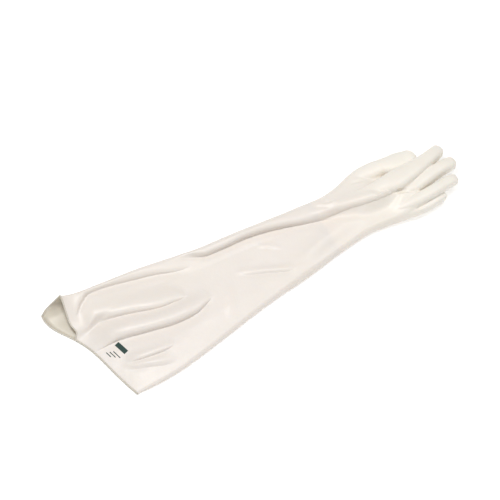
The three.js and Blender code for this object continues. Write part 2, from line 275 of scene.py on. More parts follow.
# Places on each finger's axis, from inside the palm to the centre of its round tip, as x, y and z,
# with half of the height and half of the width there. The empty thumb has sunk wider than it is
# high.
FINGERS = {
    "thumb": (
        (205, 58, 15, 13, 13),
        (240, 72, 15.5, 14.4, 15.5),
        (271, 71.4, 15.8, 14.6, 18.6),
        (294, 69.4, 15.6, 14.4, 18),
        (312, 63.6, 16.4, 14.4, 22.6),
        (328, 61.2, 16, 14, 24.2),
        (341, 61.2, 15, 13.4, 22),
        (350.5, 61.4, 14.4, 13, 19.4),
    ),
    "index": (
        (125, 37, 13, 12, 12),
        (168, 33, 17, 15, 14),
        (213, 28.5, 23.5, 16, 15),
        (246, 25, 28, 16.2, 15.5),
        (262, 23.5, 30, 16.2, 17.6),
        (280, 20.8, 32, 16.2, 21.2),
        (299, 20.2, 33.4, 15.4, 23),
        (318, 21.6, 33.8, 14.8, 21),
        (338, 24.4, 33.2, 14.6, 18.8),
        (362, 29.2, 30.8, 14.6, 16.8),
        (386, 35.6, 27.4, 14.4, 14.6),
        (405, 42, 23, 13.2, 13.2),
    ),
    "middle": (
        (272, -10, 15.5, 10.5, 10.5),
        (304, -8, 23, 13.4, 14),
        (350.8, -1.2, 26, 14.2, 15),
        (377, 3.2, 25.6, 14, 14.6),
        (399, 6, 24.4, 13.6, 14),
        (413, 6.8, 22.6, 12.8, 13.2),
    ),
    "ring": (
        (266, -26, 18, 9, 9),
        (290, -31, 22.5, 11.4, 12.2),
        (320, -33.4, 27, 12, 13),
        (350, -32.4, 28, 12, 12.9),
        (385, -28.6, 25.2, 11.4, 12.2),
        (397, -28.2, 23.2, 10.8, 11.4),
    ),
    "little": (
        (262, -34, 13, 8, 8.5),
        (290, -44, 14.4, 10.6, 11),
        (320, -48.2, 15, 10.8, 11),
        (345, -47, 14.4, 10.6, 10.6),
        (363, -44, 13, 9.8, 9.8),
    ),
}

# The power that shapes a finger's section: 1 is an ellipse, and less is squarer.
TUBE_FLATNESS = {"thumb": 0.86, "index": 0.7, "middle": 0.76, "ring": 0.76, "little": 0.8}

# Creases pressed into the skin, by places along the bottom of each, and raised lips, whose depth is
# below 0. fade is how long the ends rise.
CREASE_COLUMNS = ("depth", "width", "fade")
CREASES = {
    "slit between the ring and little fingers": (
        ((300, -48.5, 26), (312, -49, 25), (326, -47.5, 24), (340, -46, 23)),
        (4, 1.8, 5),
    ),
    "edge of the palm over the middle finger": (
        (
            (283, -0.2, 38), (289, -1.4, 35.2), (294.4, -3.9, 34.2), (299.2, -7.3, 33.7),
            (303.7, -11, 33.6), (310.1, -15.4, 33.2), (317.5, -18.3, 32.1),
        ),
        (5.5, 2.8, 6),
    ),
    "fold at the foot of the thumb": (
        ((212, 62, 33), (224, 60, 33), (236, 57, 33), (252, 52, 33)),
        (1.5, 3.2, 12),
    ),
    "second fold at the foot of the thumb": (
        ((214, 52, 34), (228, 49, 35), (244, 44, 35)),
        (0.9, 3, 12),
    ),
    "lip at the wrist": (
        (
            (133, 55, 33.4), (143, 47, 34.8), (150, 41, 36.8), (157, 37, 38.4), (164, 35.5, 39.2),
            (171, 36, 39.2), (179, 39, 38),
        ),
        (-1.7, 3.4, 14),
    ),
    "crease below the lip": (
        ((127, 50.5, 33.8), (137, 42.5, 35.6), (150, 33, 37.6), (162, 29.5, 38.4)),
        (1.2, 3, 12),
    ),
    "hollow above the lip": (
        ((150, 47, 34.6), (158, 43.5, 36.6), (166, 43.5, 36.8)),
        (1.4, 3.4, 7),
    ),
    "wrinkle on the far side of the forearm": (
        ((14, 78, 25), (28, 79, 25), (40, 78, 25), (58, 77, 25)),
        (1.4, 2.2, 10),
    ),
    "wrinkle by the wrist": (
        ((100, 66, 27), (110, 65, 27), (122, 64, 27)),
        (1, 2.4, 8),
    ),
    "ridge across the forearm": (
        ((-90, -4, 16), (-107, -37, 16), (-118, -61, 18), (-133, -80, 19)),
        (-1.3, 9, 30),
    ),
    "dimple in the cuff": (
        ((-254, -36, 15), (-247, -42, 15), (-241, -48, 15)),
        (0.8, 3, 8),
    ),
}

# Slow ripples in the slack rubber: lumps to a metre along each axis, the shift that sets one layer
# of them off the other, and its share of the height.
RIPPLES = (
    ((14, 24, 14), (0, 0, 3), 0.7),
    ((34, 60, 40), (7, 0, 0), 0.3),
)

# Plain printed strips on the cuff, each with its middle in plan, its length and its width.
STRIP_COLUMNS = ("x", "y", "length", "width")
STRIPS = {
    "bar": (-328.5, -22, 27, 9.5),
    "first line": (-342, -29, 19, 1.6),
    "second line": (-348.5, -25, 16, 1.6),
    "third line": (-355, -21, 13, 1.6),
}
STRIP_DIRECTION = (0.25, -0.968)
INK_FILM = 0.00006

BEAD_SIDES = 12

# The rubber's colour changes from the gauntlet's to the hand's between these places along X.
COLOUR_CHANGE = (0.06, 0.36)

# The point that the camera looks at, its sensor in millimetres, and each light's place and width.
LOOKS_AT = (-0.016, 0.045, 0)
SENSOR_WIDTH = 36
FARTHEST_SEEN = 50
LIGHTS = {
    "top_light": ((-0.32, 0.5, 2.5), 0.8),
    "side_light": ((1.1, 0, 2.1), 1),
    "front_light": ((-0.8, -1.3, 2), 2),
}
FLOOR_REACH = 6
FLOOR_GAP = 0.0002


# Sizes and colours that a user would change


class GloveSizes(bpy.types.PropertyGroup):
    """Sizes of the glove's rubber and fineness of its mesh."""

    wall: FloatProperty(
        name="Wall", description="Thickness of the rubber", default=0.001, min=0.0004, max=0.003,
        precision=4, unit="LENGTH",
    )
    bead_radius: FloatProperty(
        name="Bead radius", description="Radius of the rolled bead along the rim", default=0.0016,
        min=0.001, max=0.004, precision=4, unit="LENGTH",
    )
    web_radius: FloatProperty(
        name="Web radius", description="Radius of the hollow curve where a finger meets the hand",
        default=0.005, min=0.001, max=0.02, precision=4, unit="LENGTH",
    )
    ripple: FloatProperty(
        name="Ripple", description="Height of the slow ripples in the slack rubber", default=0.0009,
        min=0, max=0.004, precision=4, unit="LENGTH",
    )
    row_step: FloatProperty(
        name="Row step", description="Length of a face along the gauntlet", default=0.0029,
        min=0.002, max=0.01, precision=4, unit="LENGTH",
    )
    finger_step: FloatProperty(
        name="Finger step", description="Length of a face along a finger", default=0.0027,
        min=0.002, max=0.01, precision=4, unit="LENGTH",
    )
    finger_sides: IntProperty(
        name="Finger sides", description="Faces round a finger", default=34, min=12, max=64,
    )


class GloveColours(bpy.types.PropertyGroup):
    """Colours of the glove."""

    rubber: FloatVectorProperty(
        name="Rubber", description="Colour of the rubber", subtype="COLOR", size=3, min=0, max=1,
        default=(0.875, 0.802, 0.762),
    )
    rubber_hand: FloatVectorProperty(
        name="Rubber, hand",
        description="Colour of the rubber at the hand, where it is a little creamier",
        subtype="COLOR", size=3, min=0, max=1, default=(0.955, 0.927, 0.858),
    )
    # Painted shade: the inner skin's colour is darker than the rubber's so that the hollow of the
    # gauntlet looks shaded
    rubber_inside_painted_shade: FloatVectorProperty(
        name="Rubber, inside", description="Colour of the rubber inside the gauntlet",
        subtype="COLOR", size=3, min=0, max=1, default=(0.66, 0.61, 0.5),
    )
    # Painted shade: the bead's colour is darker than the rubber's so that the rim shows a thin
    # shaded outline
    bead_painted_shade: FloatVectorProperty(
        name="Rubber, bead", description="Colour of the thick rolled rubber of the rim's bead",
        subtype="COLOR", size=3, min=0, max=1, default=(0.5, 0.465, 0.395),
    )
    rubber_deep: FloatVectorProperty(
        name="Rubber, deeper", description="Colour of the rubber where the dip is thicker",
        subtype="COLOR", size=3, min=0, max=1, default=(0.82, 0.755, 0.66),
    )
    ink: FloatVectorProperty(
        name="Ink", description="Colour of the printed bar on the cuff", subtype="COLOR", size=3,
        min=0, max=1, default=(0.012, 0.05, 0.04),
    )
    floor: FloatVectorProperty(
        name="Floor", description="Colour of the floor", subtype="COLOR", size=3, min=0, max=1,
        default=(0.93, 0.93, 0.93),
    )


class StageSizes(bpy.types.PropertyGroup):
    """Camera and lights."""

    azimuth: FloatProperty(
        name="Azimuth", description="Direction of the camera round the glove",
        default=math.radians(-30), subtype="ANGLE",
    )
    elevation: FloatProperty(
        name="Elevation", description="Height of the camera above the horizon",
        default=math.radians(60), subtype="ANGLE",
    )
    distance: FloatProperty(
        name="Distance", description="Distance from the camera to the point that it looks at",
        default=3.2, min=1, unit="LENGTH",
    )
    lens: FloatProperty(
        name="Lens", description="Focal length of the camera", default=120.4, min=20, unit="CAMERA",
    )
    top_power: FloatProperty(
        name="Top light", description="Power of the light high above the glove", default=28, min=0,
        unit="POWER",
    )
    side_power: FloatProperty(
        name="Side light", description="Power of the light beyond the fingers", default=11, min=0,
        unit="POWER",
    )
    front_power: FloatProperty(
        name="Front light", description="Power of the large light on the camera's side", default=11,
        min=0, unit="POWER",
    )
    sky: FloatProperty(
        name="Sky", description="Strength of the even light from all round", default=0.34, min=0,
    )
    floor_glow: FloatProperty(
        name="Floor glow", description="Strength of the light that the white floor gives off",
        default=0.3, min=0,
    )


# Shape of the gauntlet and the hand


def smooth_rows(table, places):
    """Rows of a table at places that count its rows from 0, on smooth curves through all rows."""
    table = np.asarray(table, float)
    places = np.asarray(places, float)
    first = np.clip(np.floor(places).astype(int), 0, len(table) - 2)
    part = (places - first)[..., None]
    before, a, b, after = (table[np.clip(first + k, 0, len(table) - 1)] for k in (-1, 0, 1, 2))
    start = (b - before) / 2
    end = (after - a) / 2
    bend = 3 * (b - a) - 2 * start - end
    twist = 2 * (a - b) + start + end
    return a + part * (start + part * (bend + part * twist))


def smooth_step(t):
    """0 up to t = 0, 1 from t = 1 on, and a smooth change between them."""
    t = np.clip(t, 0, 1)
    return t * t * (3 - 2 * t)


def bell(t):
    """1 at t = 0, falling smoothly to nearly 0 at t = 2 on either side."""
    return np.exp(-t * t)


def fold_values(fold, x):
    """A fold's columns after x, at places along it."""
    table = np.array(fold, float)
    place = np.interp(x, table[:, 0], np.arange(len(table)))
    return np.moveaxis(smooth_rows(table[:, 1:], place), -1, 0)


def folds_at(x, y):
    """How far the folds lift the upper layer at places in plan, and push it towards -Y."""
    lift = np.zeros_like(x)
    push = np.zeros_like(x)
    on_hand = smooth_step((x - HAND_TROUGH_START) / HAND_TROUGH_LENGTH)
    spread = 1 + HAND_TROUGH_SPREAD * on_hand
    for fold in FOLDS.values():
        crest, height, far, near, trough, lean, crisp = fold_values(fold, x)
        off = y - crest
        sharp = np.sqrt(1 - np.clip(-off / near, 0, 1) ** CREST_CURVE)
        valley = bell(np.minimum(off + near, 0) / (near * spread))
        sharp_lift = (height + trough) * sharp - trough * valley
        soft = bell(off / (SOFT_FOLD_WIDTH * near))
        soft_lift = height * soft - trough * bell((off + near) / (SOFT_TROUGH_WIDTH * near))
        near_lift = crisp * sharp_lift + (1 - crisp) * soft_lift
        far_ridge = bell(off / far)
        lift += np.where(off > 0, height * far_ridge, near_lift)
        push += lean * np.where(off > 0, far_ridge, crisp * sharp + (1 - crisp) * soft)
    edge = np.array(HAND_EDGE, float)
    past = smooth_step((y - np.interp(x, edge[:, 0], edge[:, 1])) / HAND_EDGE_WIDTH)
    lift -= HAND_EDGE_DROP * past * smooth_step((x - HAND_DROP_START) / HAND_DROP_LENGTH)
    return lift, push


def fold_density(x, y):
    """How dense the columns of faces are at places in plan: denser at the foot of each fold."""
    density = np.ones_like(x)
    for fold in FOLDS.values():
        crest, height, _, near, _, _, crisp = fold_values(fold, x)
        strength = crisp * np.clip(height / FOOT_FULL_HEIGHT, 0, 1)
        foot = bell((y - crest + FOOT_PLACE * near) / (FOOT_WIDTH * near))
        density += FOOT_DENSITY * strength * foot
    return density


def openness(distance, reach, sloping=0):
    """How open a rolled side is at a distance in from its edge: 0 at the edge, 1 past its reach.

    It is round where sloping is 0, and less steep at the edge where sloping is 1.
    """
    part = np.clip(distance / reach, 0, 1)
    return (1 - sloping) * np.sqrt(1 - (1 - part) ** 2) + sloping * np.sin(part * math.pi / 2)


def lean_at(height):
    """The share of a section's rake at a height in millimetres."""
    return 1 - (1 - np.clip((height - RAKE_START) / RAKE_REACH, 0, 1)) ** 2


def section_ring(place, round_steps, middle_steps, fineness=6):
    """Points round one section: the upper layer from near to far, then the lower layer back.

    The lower layer is nearly flat and has every fourth point only. The columns' density is summed
    over fineness places for each step of the middle.
    """
    row = dict(zip(SECTION_COLUMNS, smooth_rows(SECTIONS, place)))
    width = math.hypot(row["far_x"] - row["near_x"], row["far_y"] - row["near_y"])
    near, far = row["near_round"] / width, row["far_round"] / width
    rolled = 1 - np.cos(np.arange(round_steps) / round_steps * math.pi / 2)
    fine = near + (1 - near - far) * np.linspace(0, 1, fineness * middle_steps)
    density = fold_density(
        row["near_x"] + (row["far_x"] - row["near_x"]) * fine,
        row["near_y"] + (row["far_y"] - row["near_y"]) * fine,
    )
    total = np.concatenate([[0], np.cumsum(density[1:] + density[:-1])])
    middle = np.interp(np.linspace(0, total[-1], middle_steps + 1), total, fine)
    w = np.concatenate([near * rolled, middle, 1 - far * rolled[::-1]])
    from_near, from_far = w * width, (1 - w) * width
    x = row["near_x"] + (row["far_x"] - row["near_x"]) * w
    x += row["sweep"] * np.sin(2 * math.pi * w * w)
    y = row["near_y"] + (row["far_y"] - row["near_y"]) * w
    lift, push = folds_at(x, y)
    near_share = np.clip(1 - (from_near - row["near_round"]) / row["near_slope"], 0, 1)
    far_share = np.clip(1 - (from_far - row["far_round"]) / row["far_slope"], 0, 1)
    bare = row["middle"] + (row["near_rise"] - row["middle"]) * smooth_step(near_share)
    bare += (row["far_rise"] - row["middle"]) * far_share**SLOPE_CURVE
    side = np.where(w < 0.5, NEAR_SIDE_HEIGHT * row["near_rise"], SIDE_HEIGHT * row["far_rise"])
    steep_rise, sloping_rise = NEAR_SLOPING
    sloping = smooth_step((row["near_rise"] - steep_rise) / (sloping_rise - steep_rise))
    sloping *= NEAR_SLOPING_SHARE
    near_open = openness(from_near, row["near_round"], sloping)
    upper_open = near_open * openness(from_far, row["far_round"])
    lower_open = near_open * openness(from_far, row["curl"])
    reach = width * UNDER_REACH
    between = smooth_step(from_near / reach) * smooth_step(from_far / reach)
    high = side + (bare + lift - side) * upper_open
    low = side * (1 - lower_open) + max(0, row["under"]) * between
    upper = np.stack([x + row["rake"] * lean_at(high), y - push * upper_open, high], -1)
    lower = np.stack([x + row["rake"] * lean_at(low), y, low], -1)[::LOWER_SHARE]
    return np.concatenate([upper, lower[1:-1][::-1]])


def gauntlet_rings(row_step, round_steps=8, middle_steps=168, fineness=40):
    """Rings of points of the gauntlet and the palm, evenly spaced along it, in metres."""
    count = len(SECTIONS)
    places = np.linspace(0, count - 1, fineness * count)
    rows = smooth_rows(SECTIONS, places)
    along = (rows[:, 0] + rows[:, 2]) / 2
    steps = round((along[-1] - along[0]) * MM / row_step)
    even = np.interp(np.linspace(along[0], along[-1], steps + 1), along, places)
    return np.array([section_ring(place, round_steps, middle_steps) for place in even]) * MM


def ring_normals(rings):
    """Outward normals at the points of a stack of rings."""
    around = np.roll(rings, -1, axis=1) - np.roll(rings, 1, axis=1)
    along = np.gradient(rings, axis=0)
    normals = np.cross(along, around)
    return normals / np.linalg.norm(normals, axis=2, keepdims=True)


def band_faces(rows, size, loop=False):
    """Four-sided faces between the rings of a stack, which start at multiples of size."""
    faces = []
    for row in range(rows if loop else rows - 1):
        a, b = row * size, (row + 1) % rows * size
        for j in range(size):
            k = (j + 1) % size
            faces.append((a + j, b + j, b + k, a + k))
    return faces


def section_cap(start, size):
    """Faces that close a section, in strips from its upper to its lower layer."""
    faces = []
    for i in range(size // (LOWER_SHARE + 1)):
        above = range(i * LOWER_SHARE, (i + 1) * LOWER_SHARE + 1)
        corners = [*above, size - i - 1, (size - i) % size]
        faces.append([start + corner for corner in dict.fromkeys(corners)])
    return faces


def finger_rings(name, step, sides):
    """Rings of points of a finger's tube, with a round tip, in metres."""
    table = np.array(FINGERS[name], float)
    legs = np.linalg.norm(np.diff(table[:, :3], axis=0), axis=1)
    length = np.concatenate([[0], np.cumsum(legs)])
    count = round(length[-1] * MM / step)
    places = np.interp(np.linspace(0, length[-1], count + 1), length, np.arange(len(table)))
    rows = smooth_rows(table, places) * MM
    centres, heights, widths = rows[:, :3], rows[:, 3], rows[:, 4]
    ahead = np.gradient(centres, axis=0)
    ahead /= np.linalg.norm(ahead, axis=1, keepdims=True)
    side = np.cross((0, 0, 1), ahead)
    side /= np.linalg.norm(side, axis=1, keepdims=True)
    up = np.cross(ahead, side)
    angles = np.arange(sides) / sides * 2 * math.pi
    flatness = TUBE_FLATNESS[name]
    rise, reach = (np.sign(v) * np.abs(v) ** flatness for v in (np.cos(angles), np.sin(angles)))
    spokes = heights[:, None, None] * rise[:, None] * up[:, None]
    spokes += widths[:, None, None] * reach[:, None] * side[:, None]
    rings = list(centres[:, None] + spokes)
    tip_steps = round(widths[-1] * math.pi / 2 / step)
    for angle in np.arange(1, tip_steps + 1) / (tip_steps + 0.5) * math.pi / 2:
        centre = centres[-1] + ahead[-1] * widths[-1] * math.sin(angle)
        rings.append(centre + math.cos(angle) * spokes[-1])
    return np.array(rings)


@contextmanager
def edited(mesh):
    """Opens a mesh to edit its faces, and writes it back at the end."""
    bm = bmesh.new()
    bm.from_mesh(mesh)
    yield bm
    bm.to_mesh(mesh)
    bm.free()


def mesh_object(name, points, faces, cap_faces=()):
    """A smooth mesh object. Its cap faces have material index 1, so that they can be found."""
    mesh = bpy.data.meshes.new(name)
    mesh.from_pydata([tuple(p) for p in points], [], [tuple(f) for f in [*faces, *cap_faces]])
    indices = [0] * len(faces) + [1] * len(cap_faces)
    mesh.polygons.foreach_set("material_index", indices)
    with edited(mesh) as bm:
        bmesh.ops.recalc_face_normals(bm, faces=bm.faces)
    mesh.polygons.foreach_set("use_smooth", [True] * len(mesh.polygons))
    obj = bpy.data.objects.new(name, mesh)
    bpy.context.scene.collection.objects.link(obj)
    return obj


def apply_modifiers(obj):
    """Puts an object's modifiers into its mesh."""
    graph = bpy.context.evaluated_depsgraph_get()
    mesh = bpy.data.meshes.new_from_object(obj.evaluated_get(graph))
    obj.modifiers.clear()
    old = obj.data
    obj.data = mesh
    bpy.data.meshes.remove(old)


def join_fingers(body, sizes):
    """Joins the five fingers to the hand, in its first material, so that no empty slot is added."""
    tubes = []
    for name in FINGERS:
        rings = finger_rings(name, sizes.finger_step, sizes.finger_sides)
        count, size = rings.shape[:2]
        faces = band_faces(count, size)
        last = (count - 1) * size
        ends = [range(size), range(last, last + size)]
        tubes.append(mesh_object(name, rings.reshape(-1, 3), [*faces, *ends]))
        tubes[-1].data.materials.append(body.data.materials[0])
        union = body.modifiers.new(name, "BOOLEAN")
        union.operation = "UNION"
        union.solver = "MANIFOLD"
        union.object = tubes[-1]
    apply_modifiers(body)
    for tube in tubes:
        mesh = tube.data
        bpy.data.objects.remove(tube)
        bpy.data.meshes.remove(mesh)


def mesh_arrays(mesh):
    """Points, normals and edges of a mesh as arrays."""
    points = np.empty(len(mesh.vertices) * 3)
    mesh.vertices.foreach_get("co", points)
    normals = np.empty(len(mesh.vertices) * 3)
    mesh.vertices.foreach_get("normal", normals)
    edges = np.empty(len(mesh.edges) * 2, int)
    mesh.edges.foreach_get("vertices", edges)
    return points.reshape(-1, 3), normals.reshape(-1, 3), edges.reshape(-1, 2)


def put_points(mesh, points):
    """Moves a mesh's points to new places."""
    mesh.vertices.foreach_set("co", points.ravel())
    mesh.update()


def neighbour_mean(values, edges, degree):
    """The mean of a value over each point's neighbours."""
    total = np.zeros_like(values)
    np.add.at(total, edges[:, 0], values[edges[:, 1]])
    np.add.at(total, edges[:, 1], values[edges[:, 0]])
    return total / (degree[:, None] if values.ndim > 1 else degree)


def fill_webs(mesh, radius, start=(0.12, 0.02), fingers=(0.3, 0.03), rounds=60, pull=0.6):
    """Fills each hollow corner between the fingers and the hand to a curve of a radius.

    start and fingers are places along X, with the length of the change there. The filling begins at
    start. Past fingers, where they only touch each other, the radius is a quarter. pull is how far
    a point goes towards the mean of its neighbours in a round.
    """
    points, normals, edges = mesh_arrays(mesh)
    degree = np.bincount(edges.ravel(), minlength=len(points)).astype(float)
    region = smooth_step((points[:, 0] - start[0]) / start[1])
    radius = radius * (1 - 0.75 * smooth_step((points[:, 0] - fingers[0]) / fingers[1]))
    for _ in range(rounds):
        square = ((points[edges[:, 0]] - points[edges[:, 1]]) ** 2).sum(1)
        spacing = np.zeros(len(points))
        np.add.at(spacing, edges[:, 0], square)
        np.add.at(spacing, edges[:, 1], square)
        spacing = np.maximum(spacing / degree, 1e-8)
        drift = neighbour_mean(points, edges, degree) - points
        # About one over the radius of the hollow there
        hollow = (drift * normals).sum(1) * 4 / spacing
        weight = smooth_step(hollow * radius - 0.5)
        weight = np.maximum(weight, neighbour_mean(weight, edges, degree)) * region
        points = points + drift * (pull * weight)[:, None]
        put_points(mesh, points)
        _, normals, _ = mesh_arrays(mesh)


def ripple(mesh, height):
    """Gives the slack rubber its slow ripples. The flat underside stays flat."""
    points, normals, _ = mesh_arrays(mesh)
    off = np.zeros(len(points))
    for lumps, shift, share in RIPPLES:
        off += [share * noise.noise(Vector(place)) for place in points * lumps + shift]
    faces_down = smooth_step((-normals[:, 2] - 0.3) / 0.5)
    lies_low = smooth_step((0.012 - points[:, 2]) / 0.006)
    points = points + normals * (off * height * (1 - faces_down * lies_low))[:, None]
    points[:, 2] = np.maximum(points[:, 2], TABLE_TOP)
    put_points(mesh, points)


def press_creases(mesh, bends=6):
    """Presses the creases into the finished skin, and raises their lips.

    bends is how many short straight legs stand for each point of a crease's path.
    """
    points, normals, _ = mesh_arrays(mesh)
    points /= MM
    for path, sizes in CREASES.values():
        crease = dict(zip(CREASE_COLUMNS, sizes))
        path = smooth_rows(path, np.linspace(0, len(path) - 1, bends * len(path)))
        legs = np.diff(path, axis=0)
        starts = np.concatenate([[0], np.cumsum(np.linalg.norm(legs, axis=1))])
        nearest = np.full(len(points), 1e9)
        place = np.zeros(len(points))
        for k, leg in enumerate(legs):
            length = np.linalg.norm(leg)
            away = points - path[k]
            t = np.clip(away @ leg / length**2, 0, 1)
            distance = np.linalg.norm(away - t[:, None] * leg, axis=1)
            closer = distance < nearest
            nearest = np.where(closer, distance, nearest)
            place = np.where(closer, starts[k] + t * length, place)
        to_end = np.minimum(place, starts[-1] - place)
        depth = crease["depth"] * bell(nearest / crease["width"])
        points -= normals * (depth * smooth_step(to_end / crease["fade"]))[:, None]
    put_points(mesh, points * MM)


def inner_skin(sizes, end_x=0.13, rim_length=0.03, slack=0.0012):
    """Points and faces of the skin inside the gauntlet, which ends in a cap at the wrist.

    It is a wall's thickness in at the rim, a little more further in, clear of the ripples, and less
    again near its end. Its faces are three times as long as the outer skin's.
    """
    step = 3 * sizes.row_step
    rings = gauntlet_rings(step, round_steps=4, middle_steps=64)
    normals = ring_normals(rings)
    keep = rings[:, :, 0].mean(axis=1) < end_x
    rings, normals = rings[keep], normals[keep]
    way = np.arange(len(rings)) * step
    depth = sizes.wall + slack * smooth_step(way / rim_length)
    depth *= 1 - 0.7 * smooth_step((way - way[-1] + rim_length) / rim_length)
    inner = rings - normals * depth[:, None, None]
    count, size = inner.shape[:2]
    faces = [face[::-1] for face in band_faces(count, size)]
    return inner.reshape(-1, 3), faces + section_cap((count - 1) * size, size)


def add_to_mesh(mesh, points, faces):
    """Adds more points and faces to a mesh, as they are."""
    with edited(mesh) as bm:
        corners = [bm.verts.new(point) for point in points]
        for face in faces:
            bm.faces.new([corners[k] for k in face])


def open_mouth(mesh):
    """Takes the cap off the mouth, and the points that only split an edge between two faces."""
    with edited(mesh) as bm:
        caps = [face for face in bm.faces if face.material_index == 1]
        if not caps:
            raise RuntimeError("the mouth has no cap to take off")
        bmesh.ops.delete(bm, geom=caps, context="FACES")
        inside = [corner for corner in bm.verts if not corner.is_boundary]
        spare = [corner for corner in inside if len(corner.link_edges) == 2]
        bmesh.ops.dissolve_verts(bm, verts=spare)


def close_rim(mesh):
    """Joins the outer skin's edge to the inner skin's edge, under the bead."""
    with edited(mesh) as bm:
        edges = [edge for edge in bm.edges if edge.is_boundary]
        ring = bmesh.ops.bridge_loops(bm, edges=edges)["faces"]
        if not edges[0].is_contiguous:
            bmesh.ops.reverse_faces(bm, faces=ring)
        if any(edge.is_boundary for edge in bm.edges):
            raise RuntimeError("the skins don't close at the rim")


def strip_points(strip, surface, step=0.0012, height=0.00008, above=0.2):
    """Points and faces of a grid on the cuff, found by rays from above, a little off its skin."""
    middle = np.array((strip["x"], strip["y"])) * MM
    along = np.array(STRIP_DIRECTION)
    across = np.array((-along[1], along[0]))
    length, width = strip["length"] * MM, strip["width"] * MM
    columns = round(length / step) + 1
    rows = max(2, round(width / step) + 1)
    points = []
    for t in np.linspace(-0.5, 0.5, rows):
        for s in np.linspace(-0.5, 0.5, columns):
            x, y = middle + along * s * length + across * t * width
            hit, normal, _, _ = surface.ray_cast(Vector((x, y, above)), Vector((0, 0, -1)))
            if hit is None:
                raise RuntimeError("a printed strip runs off the cuff")
            points.append(hit + normal * height)
    faces = []
    for i in range(rows - 1):
        for j in range(columns - 1):
            a = i * columns + j
            faces.append((a, a + 1, a + columns + 1, a + columns))
    return points, faces


# Shaders


class Field:
    """A shader socket that Python's operators work on. Each operator adds its Math node."""

    def __init__(self, shader, socket):
        self.shader = shader
        self.socket = socket

    def maths(self, operation, *operands):
        """A Math node on this field and the numbers or fields beside it."""
        settings = {"operation": operation}
        return self.shader.node("ShaderNodeMath", settings, dict(enumerate(operands)))

    def __add__(self, other):
        return self.maths("ADD", self, other)

    def __radd__(self, other):
        return self.maths("ADD", other, self)

    def __sub__(self, other):
        return self.maths("SUBTRACT", self, other)

    def __rsub__(self, other):
        return self.maths("SUBTRACT", other, self)

    def __mul__(self, other):
        return self.maths("MULTIPLY", self, other)

    def __rmul__(self, other):
        return self.maths("MULTIPLY", other, self)


class Shader:
    """A material's nodes."""

    def __init__(self, name):
        self.material = bpy.data.materials.new(name)
        self.material.use_nodes = True
        self.tree = self.material.node_tree
        self.tree.nodes.clear()

    def node(self, kind, settings, inputs, output=0):
        """A node of any kind: its settings are set first, then its inputs' values or links."""
        made = self.tree.nodes.new(kind)
        for name, value in settings.items():
            setattr(made, name, value)
        for name, value in inputs.items():
            if isinstance(value, Field):
                self.tree.links.new(value.socket, made.inputs[name])
            else:
                made.inputs[name].default_value = value
        return Field(self, made.outputs[output])

    def place(self):
        """The place on the object, in metres."""
        return self.node("ShaderNodeTexCoord", {}, {}, "Object")

    def noise(self, size, detail=2.0, squeeze=(1, 1, 1)):
        """Noise from 0 to 1, with lumps of a size in metres, divided by squeeze on each axis."""
        settings = {"operation": "MULTIPLY"}
        spread = self.node("ShaderNodeVectorMath", settings, {0: self.place(), 1: squeeze})
        inputs = {"Vector": spread, "Scale": 1 / size, "Detail": detail}
        return self.node("ShaderNodeTexNoise", {}, inputs)

    def along_x(self, start, end):
        """0 up to a place along X, 1 from another on, and a smooth change between them."""
        x = self.node("ShaderNodeSeparateXYZ", {}, {0: self.place()})
        settings = {"interpolation_type": "SMOOTHSTEP"}
        inputs = {"Value": x, "From Min": start, "From Max": end}
        return self.node("ShaderNodeMapRange", settings, inputs)

    def mix_colours(self, factor, a, b):
        """Colour a where the factor is 0, and b where it is 1. Each is three numbers or a field."""
        settings = {"data_type": "RGBA"}
        a, b = (c if isinstance(c, Field) else (*c, 1) for c in (a, b))
        return self.node("ShaderNodeMix", settings, {"Factor": factor, 6: a, 7: b}, 2)

    def bump(self, height, distance, strength):
        """A Bump node for a surface's Normal, with the height of its relief in metres."""
        inputs = {"Height": height, "Distance": distance, "Strength": strength}
        return self.node("ShaderNodeBump", {}, inputs)

    def finish(self, **inputs):
        """Ends in a Principled surface with these inputs, named with _ for a space."""
        named = {name.replace("_", " "): value for name, value in inputs.items()}
        surface = self.node("ShaderNodeBsdfPrincipled", {}, named)
        end = self.tree.nodes.new("ShaderNodeOutputMaterial")
        self.tree.links.new(surface.socket, end.inputs["Surface"])
        return self.material


def rubber_material(name, gauntlet, hand, deep):
    """Satin off-white dipped rubber, a little uneven in colour and gloss."""
    shader = Shader(name)
    broad = shader.noise(size=0.11, detail=3.0, squeeze=(0.6, 1, 1))
    patches = shader.noise(size=0.022)
    dimples = shader.noise(size=0.006, detail=1.0)
    grain = shader.noise(size=0.0011)
    thickness = broad * 0.65 + patches * 0.2
    thin = shader.mix_colours(shader.along_x(*COLOUR_CHANGE), gauntlet, hand)
    relief = grain * 0.35 + dimples * 0.65
    return shader.finish(
        Base_Color=shader.mix_colours(thickness, thin, deep),
        Roughness=0.33 + patches * 0.08 + grain * 0.04,
        Specular_IOR_Level=0.55,
        Subsurface_Weight=0.12,
        Subsurface_Radius=(0.006, 0.0045, 0.0032),
        Subsurface_Scale=1.0,
        Normal=shader.bump(relief, distance=0.00035, strength=0.6),
    )


def ink_material(colours):
    """Matt ink, a little thin in places."""
    shader = Shader("printed_ink")
    thin = shader.noise(size=0.0018)
    paler = [0.8 * c + 0.03 for c in colours.ink]
    return shader.finish(
        Base_Color=shader.mix_colours(1 - thin, paler, colours.ink),
        Roughness=0.5 + 0.2 * thin,
        Specular_IOR_Level=0.3,
        Normal=shader.bump(thin, distance=0.0001, strength=0.4),
    )


def floor_material(colours, glow):
    """Plain pale matt floor, lit from below like a light table."""
    shader = Shader("pale_floor")
    speckle = shader.noise(size=0.004)
    darker = [0.95 * c for c in colours.floor]
    return shader.finish(
        Base_Color=shader.mix_colours(speckle * 0.03, colours.floor, darker),
        Roughness=0.9 + speckle * 0.05,
        Specular_IOR_Level=0.1,
        Emission_Color=(1, 1, 1, 1),
        Emission_Strength=glow,
    )


# Operators, one for each piece and one for the stage


